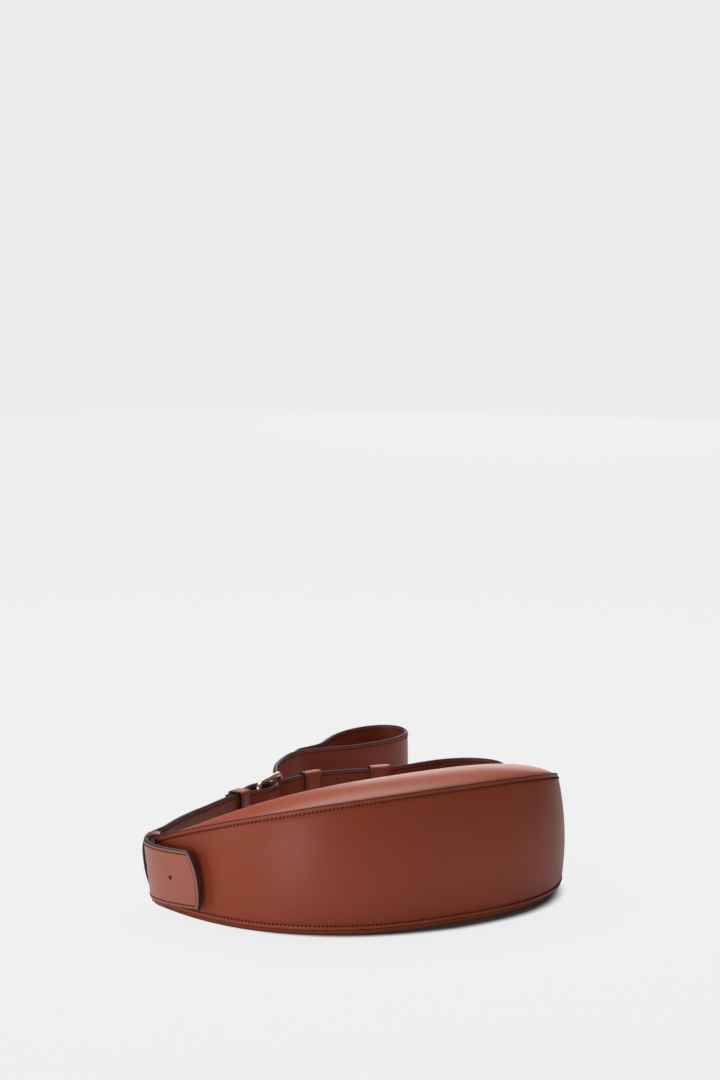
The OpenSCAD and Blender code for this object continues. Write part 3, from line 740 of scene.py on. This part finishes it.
# Linings lie just inside the panels and the gusset and end a little below the mouth. Those
# of the panels leave out the narrow corners
def make_linings():
    t = column_angles(40)
    t = t[np.sin(t)**(2 / BODY_N) > 8 / 116]
    step = PANEL_T + LINING_STEP + TURNED
    for name, a, b, height, sign in (("front_lining", FRONT_A, FRONT_B, front_height, 1),
                                     ("back_lining", BACK_A, BACK_B, back_height, -1)):
        faces = []
        for deep in (LINING_GAP, LINING_GAP + LINING_T):
            faces.append(panel_grid(t, a - step, b - step,
                                    lambda x, y: height(x, y) - sign * (PANEL_T + deep),
                                    [], LINING_TOP))
        settle(shell(name + "_cloth", *faces, lining_cloth), "root", "lining", name)
    t = column_angles(60)
    edge = (FLANGE_D + LINING_STEP) / gusset_width(t)
    top = LINING_TOP * (1 - np.abs(np.cos(t)) / 2)
    faces = []
    for deep in (GUSSET_T + LINING_GAP, GUSSET_T + LINING_GAP + LINING_T):
        rows = []
        for share in np.linspace(0, 1, 9):
            row = gusset_point(t, edge + (1 - 2 * edge) * share, deep)
            row[:, 1] = np.minimum(row[:, 1], top)
            rows.append(row)
        faces.append(np.array(rows))
    settle(shell("gusset_lining_cloth", *faces, lining_cloth), "root", "lining", "gusset_lining")


# Mouth: two leather facings, two tapes and the sewing beside the zip. A facing's rows are
# close together round its stitching, then spread to the panel
FACING_ROWS = np.array([0, 0.3, 0.9, 1.7, 2.1, MOUTH_STITCH, 2.9, 4.0])


def make_facing(name, x, wall, gap_z):
    depth, sign, last = np.abs(wall - gap_z), np.sign(wall - gap_z), FACING_ROWS[-1]
    faces = []
    for y in (0.0, -FACING_T):
        rows = []
        for d in FACING_ROWS:
            sunk = MOUTH_GROOVE if d == MOUTH_STITCH and y == 0 else 0
            rows.append(flat_row(x, y - sunk, gap_z + sign * d))
        for share in np.linspace(0, 1, 7)[1:]:
            rows.append(flat_row(x, y, gap_z + sign * (last + (depth - last) * share)))
        faces.append(np.array(rows))
    settle(shell(name + "_leather", *faces, loop_leather), "root", "gusset_leather", name)


def make_tape(name, piece_name, low):
    x = np.linspace(-TEETH_L / 2 - 6, TEETH_L / 2 + 6, 121)
    outer_y = -FACING_T - SEAT
    faces = []
    for y in (outer_y, outer_y - TAPE_T):
        faces.append(np.array([flat_row(x, y, z) for z in np.linspace(low, low + TAPE_W, 9)]))
    settle(shell(piece_name, *faces, tape_cloth), "root", "zip_tape", name)


def make_mouth():
    half = FRONT_A - TURNED - PANEL_T - 0.3
    x = np.linspace(-half, half, 81)
    stitch_x = np.linspace(-half + 3, half - 3, 300)
    runs = []
    for side, sign, wall in (("front", 1, front_height(x, 0 * x) - PANEL_T - SEAT),
                             ("back", -1, back_height(x, 0 * x) + PANEL_T + SEAT)):
        gap_z = ZIP_Z + sign * FACING_GAP
        make_facing(side + "_facing", x, wall, gap_z)
        line = flat_row(stitch_x, 0.0, gap_z + sign * MOUTH_STITCH)
        runs.append((line, np.tile([0.0, 1.0, 0.0], (len(line), 1))))
        low = ZIP_Z + (ROW_OUT + SEAT if sign > 0 else -ROW_OUT - SEAT - TAPE_W)
        make_tape(side + "_zip_tape", side + "_tape_cloth", low)
    settle(sew("mouth_stitching", runs), "root", "gusset_leather")


# Strap routes: a smooth line through the shares, sampled evenly
def smooth_route(shares):
    p = np.array(shares) * (HALF_L, BODY_D)
    padded = np.vstack([2 * p[0] - p[1], p, 2 * p[-1] - p[-2]])
    t = np.linspace(0, 1, 16, endpoint=False)[:, None]
    pieces = []
    for a, b, c, d in zip(padded, padded[1:], padded[2:], padded[3:]):
        pieces.append((2 * b + (c - a) * t + (2 * a - 5 * b + 4 * c - d) * t**2
                       + (3 * b - a - 3 * c + d) * t**3) / 2)
    line = np.vstack(pieces + [p[-1:]])
    run = spans(line)
    where = np.linspace(0, run[-1], int(run[-1] / ROUTE_STEP) + 1)
    return relax(resample(line, run, where), 6)


# The strap's own plane hangs by the droop from the hinge line; z is measured from its middle
def strap_space(line, z=0.0):
    y = line[:, 1] - HINGE_Y
    return np.stack([line[:, 0], HINGE_Y + y * math.cos(DROOP) + z * math.sin(DROOP),
                     STRAP_Z - y * math.sin(DROOP) + z * math.cos(DROOP)], -1)


STRAP_UP = np.array([0, math.sin(DROOP), math.cos(DROOP)])


# Half the width of a band that ends in an arch
def round_end(line, radius):
    run = spans(line)
    left = np.clip(run[-1] - run, 0, radius)
    return np.minimum(STRAP_W / 2, np.sqrt(np.maximum(0, radius**2 - (radius - left)**2)))


# The same line with its places drawn together towards the far end
def with_fine_end(line, radius):
    run = spans(line)
    first = np.arange(0, run[-1] - radius, ROUTE_STEP)
    last = run[-1] - radius * (1 - np.sin(np.linspace(0, np.pi / 2, 22)))
    return resample(line, run, np.concatenate([first, last]))


# At a corner the first axis runs along the strap and the second points away from the bag
def corner_axes(side):
    return np.array([-side * 0.575, 0.818]), np.array([side * 0.818, 0.575])


# Stitch lines on both faces along both edges, for each stretch that is kept
def strap_sewing(centre, across, half_w, keep):
    normal = unit(np.cross(unit(np.gradient(centre, axis=0)), across))
    offset = np.maximum(0.5, half_w - STITCH_IN)
    kept = np.flatnonzero(keep)
    runs = []
    for part in np.split(kept, np.flatnonzero(np.diff(kept) > 1) + 1):
        for rim_side in (-1, 1):
            for face in (-1, 1):
                line = (centre + across * (rim_side * offset)[:, None]
                        + normal * (face * (STRAP_T / 2 - 0.02)))
                runs.append((line[part], (normal * face)[part]))
    return runs


# The tab: from under the loop out to its arched end. The shear sets in just past the loop
def make_tab(name, line, lean):
    line = with_fine_end(line, FINE_TIP)
    centre = strap_space(line)
    run = spans(line)
    onward = unit(np.gradient(centre, axis=0))
    shear = TAB_SHEAR * eased(np.clip((run - 5) / 12, 0, 1))
    across = STRAP_UP + lean - onward * shear[:, None]
    half_w = round_end(line, TAB_ARCH)
    piece = band(name + "_leather", centre, across, half_w, STRAP_T, tab_leather, arch=TAB_ARCH)
    ease_corner(piece, centre[-1], onward[-1])
    punch(piece, centre, across, run)
    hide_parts(name)
    keep = (run > 4) & (run < run[-1] - 4.5)
    threads = sew(name + "_stitching", strap_sewing(centre, across, half_w, keep))
    for made in (piece, threads):
        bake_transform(made)


# The strap: from under the loop onwards, with its lean eased out. A tail ends in an arch
def make_strap(name, line, lean, tail_r):
    half_w = np.full(len(line), STRAP_W / 2)
    if tail_r:
        line = with_fine_end(line, tail_r)
        half_w = round_end(line, tail_r)
    centre = strap_space(line)
    run = spans(line)
    across = STRAP_UP + lean * eased(np.clip(1 - run / 30, 0, 1))[:, None]
    piece = band(name + "_leather", centre, across, half_w, STRAP_T, strap_leather, arch=tail_r)
    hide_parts(name, name + "_end")
    keep = (run > 4) & (run < run[-1] - (tail_r or 2))
    fold = np.array(RING_FOLD) * (HALF_L, BODY_D)
    keep &= np.linalg.norm(line - fold, axis=1) > FOLD_CLEAR
    threads = sew(name + "_stitching", strap_sewing(centre, across, half_w, keep), pitch=2.5)
    for made in (piece, threads):
        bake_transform(made)


# Tab and strap part at the loop, within the first places of the route
def make_strap_side(name, side, shares, tail_r=0):
    w_axis, n_axis = corner_axes(side)
    whole = smooth_route(shares)
    along = (whole[:60] - np.array([side * HALF_L, 0])) @ w_axis
    split = int(np.argmin(np.abs(along - LOOP_AT)))
    lean = np.append(n_axis, 0) * TAB_LEAN / STRAP_W
    make_tab(name + "_tab", whole[:split + 1][::-1], lean)
    make_strap(name + "_strap", whole[split + 1:], lean, tail_r)


# The upper corner of a tab is drawn back a little further than the arch of its end: from
# 9 mm above the middle, easing in over 10 mm of its length
def ease_corner(piece, tip, onward):
    place = in_frame(tip)
    for v in piece.data.vertices:
        off = (np.array(v.co) - place) * 1000
        back = min(1, max(0, (13 + off @ onward) / 10))
        high = max(0, (off @ STRAP_UP - 9) / 7.5)
        v.co = Vector(np.array(v.co) - onward * (0.0016 * high**2 * eased(back)))


# The small hole in each tab. Its wall is marked as far from any edge, so it isn't painted
def punch(piece, centre, across, run):
    at = int(np.argmin(np.abs(run - (run[-1] - HOLE_IN))))
    spot = in_frame(centre[at])
    tangent = unit(centre[at + 1] - centre[at - 1])
    axis = unit(np.cross(tangent, across[at]))
    deselect()
    bpy.ops.mesh.primitive_cylinder_add(vertices=24, radius=HOLE_R, depth=0.012,
                                        location=tuple(spot))
    tool = bpy.context.active_object
    tool.rotation_mode = "QUATERNION"
    tool.rotation_quaternion = Vector(axis).to_track_quat("Z", "Y")
    pick(piece)
    cut = piece.modifiers.new("Hole", "BOOLEAN")
    cut.operation, cut.solver, cut.object = "DIFFERENCE", "EXACT", tool
    bpy.ops.object.modifier_apply(modifier=cut.name)
    bpy.data.objects.remove(tool)
    marks = piece.data.attributes["edge"].data
    for v in piece.data.vertices:
        off = np.array(v.co) - spot
        if np.linalg.norm(off - axis * (off @ axis)) < HOLE_R + 0.00025:
            marks[v.index].value = 5.0


# Keepers: leather loops of soft rectangular section round the strap
def soft_rectangle(half_n, half_z, radius):
    points = []
    for cn, cz, start in ((1, 1, 0), (-1, 1, 90), (-1, -1, 180), (1, -1, 270)):
        for f in np.radians(np.linspace(start, start + 90, 6)):
            points.append((cn * (half_n - radius) + radius * math.cos(f),
                           cz * (half_z - radius) + radius * math.sin(f)))
    ring = np.array(points + points[:1])
    run = spans(ring)
    where = np.linspace(0, run[-1], int(run[-1] / 0.9), endpoint=False)
    between = where[np.min(np.abs(where[:, None] - run), 1) > 0.5]
    return resample(ring, run, np.unique(np.concatenate([run[:-1], between])))


def make_keeper(name, share, turn, wide, gap, body):
    c, s = math.cos(math.radians(turn)), math.sin(math.radians(turn))
    loop = soft_rectangle(gap / 2 + KEEPER_T / 2, (STRAP_W + 0.3) / 2 + KEEPER_T / 2,
                          KEEPER_CORNER)
    at = np.array(share) * (HALF_L, BODY_D)
    line = at[None] + loop[:, :1] * np.array([[-s, c]])
    centre = strap_space(line, loop[:, 1])
    along = np.array([c, s * math.cos(DROOP), -s * math.sin(DROOP)])
    across = np.repeat(along[None], len(loop), 0)
    piece = band(name + "_leather", centre, across, np.full(len(loop), wide / 2), KEEPER_T,
                 loop_leather, closed=True, stitch=KEEPER_STITCH, edge_r=0.55)
    settle(piece, body, "strap_leather", name)
    normal = unit(np.cross(unit(np.roll(centre, -1, 0) - np.roll(centre, 1, 0)), across))
    outward = normal * np.sign(np.sum(normal * (centre - centre.mean(0)), -1, keepdims=True))
    runs = []
    for rim_side in (-1, 1):
        for face in (-1, 1):
            keep = (np.abs(loop[:, 1]) < STRAP_W / 2 - 1) & (np.sign(loop[:, 0]) == face)
            order = np.argsort(loop[keep][:, 1])
            line = (centre + across * rim_side * (wide / 2 - KEEPER_STITCH)
                    + outward * (KEEPER_T / 2 - 0.03))
            runs.append((line[keep][order], outward[keep][order]))
    threads = sew(name + "_stitching", runs, size=(0.7, 0.36, 0.34), pitch=1.9)
    settle(threads, body, "strap_leather")


# Corner loops: a thin strip round the strap, bowed outward by its slack
def make_loop(name, side):
    w_axis, n_axis = corner_axes(side)
    section = np.array(LOOP_OUTER)
    run = spans(section)
    line = relax(resample(section, run, np.linspace(0, run[-1], 90)), 12)
    step = unit(np.gradient(line, axis=0))
    line = line + np.stack([step[:, 1], -step[:, 0]], -1) * LOOP_T / 2
    low, tall = 6, 37
    bow = np.sin(np.pi * np.clip((line[:, 1] - low) / tall, 0, 1))
    line[:, 0] += LOOP_SLACK * np.sqrt(bow)
    start = np.array([side * HALF_L, 0]) + w_axis * LOOP_AT
    centre = np.column_stack([start[None] + line[:, :1] * n_axis[None], line[:, 1]])
    across = np.repeat(np.append(w_axis, 0)[None], len(centre), 0)
    piece = band(name + "_loop_leather", centre, across, np.full(len(centre), LOOP_W / 2), LOOP_T,
                 loop_leather, stitch=1.5, edge_r=0.5)
    settle(piece, "root", "strap_leather", name + "_loop")
    normal = np.append(n_axis, 0)
    make_rivet(name + "_rivet", np.append(start, STRAP_Z) + normal * (3.95 + LOOP_SLACK), normal)


# A rivet: a low domed head outside the loop, and a shank that goes down through the leather
def make_rivet(name, head, normal):
    low, flat, deep = -0.0012, 0.13, -0.0042
    place = in_frame(head)
    deselect()
    bpy.ops.mesh.primitive_uv_sphere_add(segments=32, ring_count=16, radius=0.0025,
                                         location=tuple(place))
    rivet = bpy.context.active_object
    rivet.name = rivet.data.name = name + "_brass"
    turn = Vector(normal).to_track_quat("Z", "Y").to_matrix()
    for v in rivet.data.vertices:
        local = Vector((v.co.x, v.co.y, v.co.z * flat))
        if v.co.z < low:
            local = Vector((v.co.x * 0.9, v.co.y * 0.9, deep))
        v.co = turn @ local + Vector(place)
    rivet.location = (0, 0, 0)
    for f in rivet.data.polygons:
        f.use_smooth = True
    rivet.data.materials.append(pale_brass)
    settle(rivet, "root", "brass", name)


# Zip pull: a folded leather tag with painted edges and a rounded end, lying along the zip
def make_pull():
    length, half_wide, thick, corner = 26.0, 4.5, 2.2, 4.5
    where = np.linspace(0, length, 40)
    centre = flat_row(SLIDER_X + PULL_AT + where, 2.25, ZIP_Z)
    across = np.tile([0.0, 0.0, 1.0], (len(where), 1))
    left = np.clip(length - where, 0, corner)
    arc = np.sqrt(np.maximum(0, corner**2 - (corner - left)**2))
    half_w = np.minimum(half_wide, 2.4 + arc * 0.5)
    piece = band("zip_pull_leather", centre, across, half_w, thick, pull_leather, stitch=1.4,
                 edge_r=0.7)
    settle(piece, "zip_puller", "tab_leather", "zip_pull")


for cad_name, finish in (("strap_ring", pale_brass), ("zip_slider", pale_brass),
                         ("pull_link", pale_brass), ("zip_stops", tooth_brass),
                         ("front_zip_teeth", tooth_brass), ("back_zip_teeth", tooth_brass)):
    mesh = nodes[cad_name].data
    mesh.materials.clear()
    mesh.materials.append(finish)

make_panels()
make_gusset()
make_linings()
make_mouth()
make_strap_side("left", -1, TAB_SHARES + CORNER_SHARES + LEFT_SHARES)
make_strap_side("right", 1, RIGHT_TAB_SHARES + RIGHT_CORNER_SHARES + RIGHT_SHARES, TAIL_R)
make_keeper("small_keeper", (-0.0995, 0.656), turn=24, wide=10, gap=7.6, body="small_keeper")
make_keeper("keeper_one", (0.453, 0.858), turn=5, wide=13, gap=3.8, body="strap")
make_keeper("keeper_two", (0.805, 0.775), turn=-17, wide=13, gap=3.8, body="strap")
make_loop("left", -1)
make_loop("right", 1)
make_pull()


def grey(tone):
    return tone, tone, tone, 1


# Studio: pale floor, soft lamps and an even pale surround. To the camera the floor is mostly
# an even glow, except under the body, where the lamps' own shadow stays
def make_floor():
    deselect()
    bpy.ops.mesh.primitive_plane_add(size=FLOOR_SIZE, location=(0, 0, 0))
    floor = bpy.context.active_object
    floor.name = floor.data.name = "floor"
    made, tree, shader = new_material("Pale floor")
    shader.inputs["Roughness"].default_value = 0.9
    shader.inputs["Specular IOR Level"].default_value = 0.0
    glow = add_node(tree, "ShaderNodeEmission")
    glow.inputs["Color"].default_value = grey(GLOW_TONE)
    mix = add_node(tree, "ShaderNodeMixShader")
    seen = add_node(tree, "ShaderNodeLightPath").outputs["Is Camera Ray"]
    half, depth, mouth = HALF_L / 1000, BODY_D / 1000, MOUTH_Y / 1000
    split = add_node(tree, "ShaderNodeSeparateXYZ")
    feed(tree, split.inputs[0], object_place(tree))
    x, y = split.outputs[0], split.outputs[1]
    along = maths(tree, "DIVIDE", maths(tree, "ABSOLUTE", x), half)
    down = maths(tree, "DIVIDE", maths(tree, "SUBTRACT", mouth, y), depth)
    down = maths(tree, "MAXIMUM", down, maths(tree, "MULTIPLY", down, -GLOW_BEHIND))
    total = maths(tree, "ADD", maths(tree, "POWER", along, BODY_N),
                  maths(tree, "POWER", down, BODY_N))
    left = maths(tree, "MAXIMUM", maths(tree, "DIVIDE", x, -half), 0.0)
    radius = maths(tree, "POWER", total, 1 / BODY_N)
    clear = fade(tree, maths(tree, "MULTIPLY_ADD", left, GLOW_LEFT, radius), GLOW_FROM, GLOW_FULL)
    feed(tree, shader.inputs["Base Color"],
         blend_colour(tree, seen, grey(FLOOR_TONE), grey(SEEN_TONE)))
    share = maths(tree, "MULTIPLY", maths(tree, "MULTIPLY", seen, clear), GLOW_SHARE)
    for socket, value in zip(mix.inputs, (share, shader.outputs[0], glow.outputs[0])):
        feed(tree, socket, value)
    feed(tree, tree.nodes["Material Output"].inputs["Surface"], mix.outputs[0])
    floor.data.materials.append(made)


def make_world():
    world = bpy.data.worlds.new("Surround")
    bpy.context.scene.world = world
    world.use_nodes = True
    tree = world.node_tree
    plain = tree.nodes["Background"]
    plain.inputs["Color"].default_value = grey(1)
    ray = add_node(tree, "ShaderNodeLightPath").outputs
    seen = maths(tree, "MAXIMUM", ray["Is Camera Ray"], ray["Is Transmission Ray"])
    strength = maths(tree, "MULTIPLY_ADD", seen, SEEN_SURROUND - SURROUND, SURROUND)
    feed(tree, plain.inputs["Strength"], strength)


def soft_lamp(name, place, aim, wide, tall, power):
    data = bpy.data.lights.new(name, "AREA")
    data.shape = "RECTANGLE"
    data.size, data.size_y, data.energy = wide, tall, power
    lamp = bpy.data.objects.new(name, data)
    bpy.context.scene.collection.objects.link(lamp)
    lamp.location = place
    lamp.rotation_euler = (Vector(aim) - Vector(place)).to_track_quat("-Z", "Y").to_euler()


make_floor()
make_world()
soft_lamp("Overhead", (0.12, 0.50, 1.35), (0, 0, 0.05), wide=1.5, tall=0.8, power=29)
soft_lamp("Key left", (-1.50, -1.00, 0.18), (0, 0, 0.03), wide=0.8, tall=0.3, power=12.5)
soft_lamp("Far left", (-1.75, 0.45, 0.40), (-0.05, 0.02, 0.04), wide=0.5, tall=0.5, power=6)
soft_lamp("Front fill", (0.5, -1.9, 0.3), (0.05, 0, 0.04), wide=0.9, tall=0.5, power=1)
soft_lamp("Right rim", (1.3, 1.6, 0.35), (0.05, 0, 0.04), wide=0.6, tall=0.6, power=4)

aim_camera()
scene = bpy.context.scene
scene.view_settings.view_transform = "Standard"
